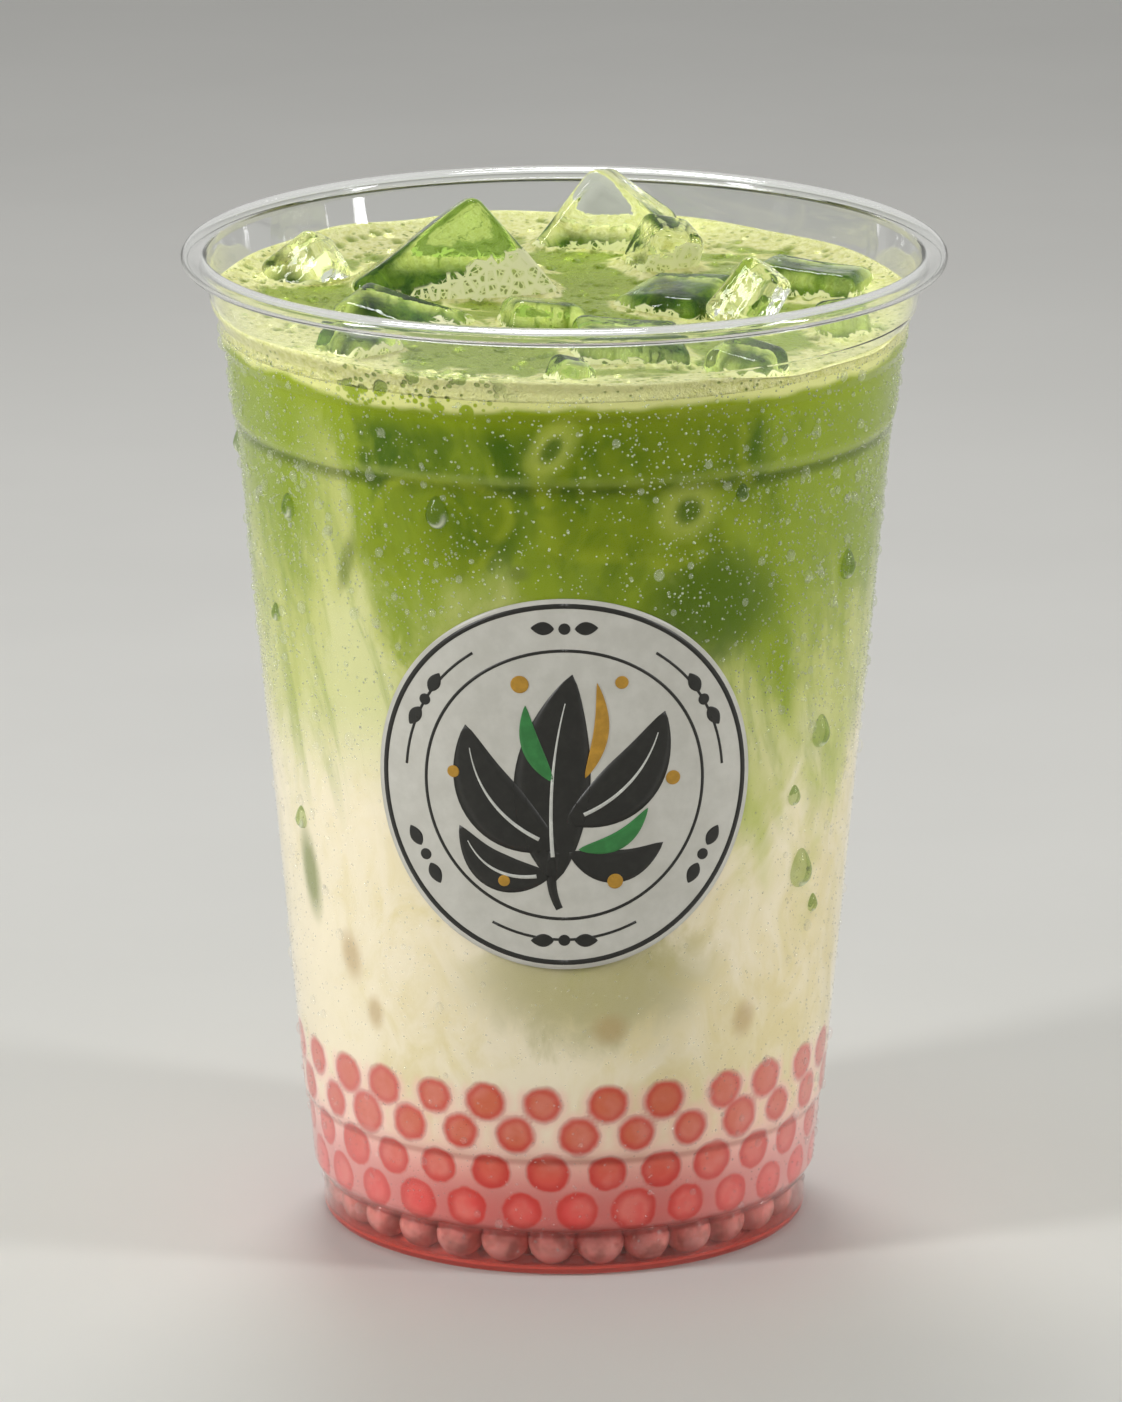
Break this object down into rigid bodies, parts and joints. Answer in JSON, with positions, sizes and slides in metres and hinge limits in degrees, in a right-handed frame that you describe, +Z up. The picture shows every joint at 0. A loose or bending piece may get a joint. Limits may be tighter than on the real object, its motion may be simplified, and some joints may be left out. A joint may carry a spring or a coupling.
{
  "type": "iced matcha latte with boba in a clear cup",
  "caption": "Iced matcha latte over milk with pink boba pearls, foam and ice cubes, in a clear tapered plastic cup with a rolled lip and a round label.",
  "frame": {"origin": "centre of the cup's foot ring, on the surface it stands on", "axes": "+Z up along the cup's axis, -Y towards the round label"},
  "size_m": [0.098, 0.098, 0.1326],
  "materials": {
    "cup": "clear thermoformed plastic, glossy, with condensation",
    "label": "pearl-white vinyl sticker, satin",
    "boba": "pink pearls in pink milk, glossy",
    "milk": "ivory milk",
    "matcha": "green matcha, streaked with milk",
    "foam": "fine pale-green froth",
    "ice": "clear melting ice, wet"
  },
  "bodies": {
    "root": {"cup": "cup", "label": "label", "boba": "boba", "milk": "milk", "matcha": "matcha", "foam": "foam", "ice_1": "ice", "ice_2": "ice", "ice_3": "ice", "ice_4": "ice", "ice_5": "ice", "ice_6": "ice", "ice_7": "ice", "ice_8": "ice", "ice_9": "ice", "ice_10": "ice", "ice_11": "ice", "ice_12": "ice", "ice_13": "ice", "ice_14": "ice"}
  },
  "joints": []
}
